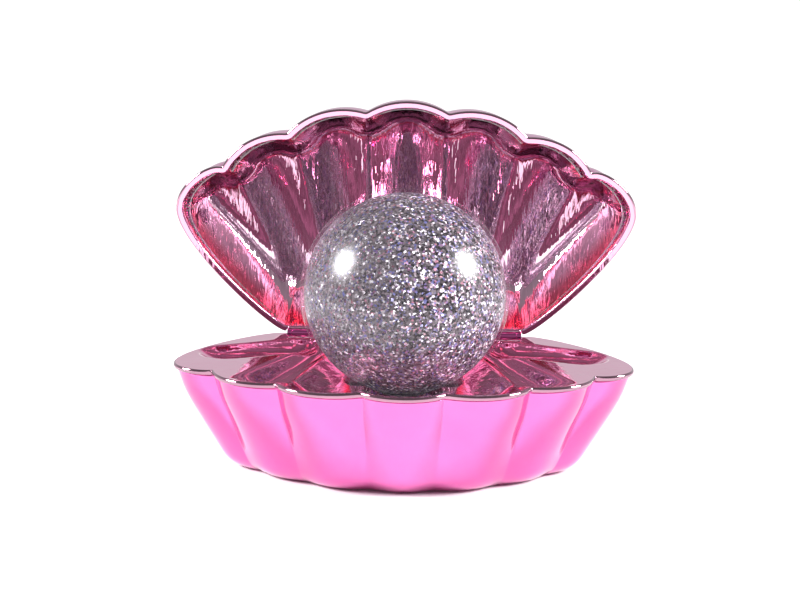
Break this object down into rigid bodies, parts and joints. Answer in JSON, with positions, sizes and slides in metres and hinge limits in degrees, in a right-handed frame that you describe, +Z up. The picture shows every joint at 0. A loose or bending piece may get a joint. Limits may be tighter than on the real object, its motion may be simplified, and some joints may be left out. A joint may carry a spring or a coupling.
{
  "type": "bubbling aquarium ornament",
  "caption": "Scallop-shell aquarium ornament: fluted shell halves on a rear hinge, a glitter pearl turning in a perforated seat over an air chamber, and a rear airline spigot.",
  "frame": {"origin": "centre of the resting face, on the underside of the non-slip pad", "axes": "+Z up, +X along the width and the hinge, +Y from the open front towards the hinge"},
  "size_m": [0.1512, 0.1083, 0.1154],
  "materials": {
    "pink_metallised": "vacuum-metallised moulding under a pink clear coat",
    "clear_seal": "satin",
    "clear_plastic": "polished, translucent",
    "black_plastic": "moulded",
    "air_stone": "sintered, porous",
    "steel": "stainless",
    "foam_rubber": "matt",
    "clear_acrylic": "polished clear acrylic",
    "glitter": "silver glitter flakes in clear resin"
  },
  "bodies": {
    "base": {"lower_shell": "pink_metallised", "lower_tray": "pink_metallised", "tray_seal": "clear_seal", "pearl_seat": "clear_plastic", "air_chamber": "black_plastic", "air_stone": "air_stone", "airline_hose": "clear_seal", "airline_inlet": "black_plastic", "inlet_nut": "black_plastic", "base_plate": "black_plastic", "base_screws": "steel", "non_slip_pad": "foam_rubber", "ballast_left": "steel", "ballast_right": "steel", "hinge_pin": "steel", "hinge_pin_caps": "pink_metallised", "hinge_rings": "foam_rubber"},
    "lid": {"upper_shell": "pink_metallised", "upper_liner": "pink_metallised", "liner_seal": "clear_seal"},
    "pearl": {"pearl_shell": "clear_acrylic", "glitter_core": "glitter", "pearl_stem": "clear_plastic", "stem_clip": "steel"}
  },
  "joints": [
    {"name": "lid_hinge", "type": "hinge", "parent": "base", "child": "lid", "pos_m": [0, 0.03508, 0.0348], "axis": [1, 0, 0], "range_deg": [-27, 23]},
    {"name": "pearl_spin", "type": "hinge", "parent": "base", "child": "pearl", "pos_m": [0, -0.00527, 0.0575], "axis": [0, 0, 1], "continuous": true}
  ]
}
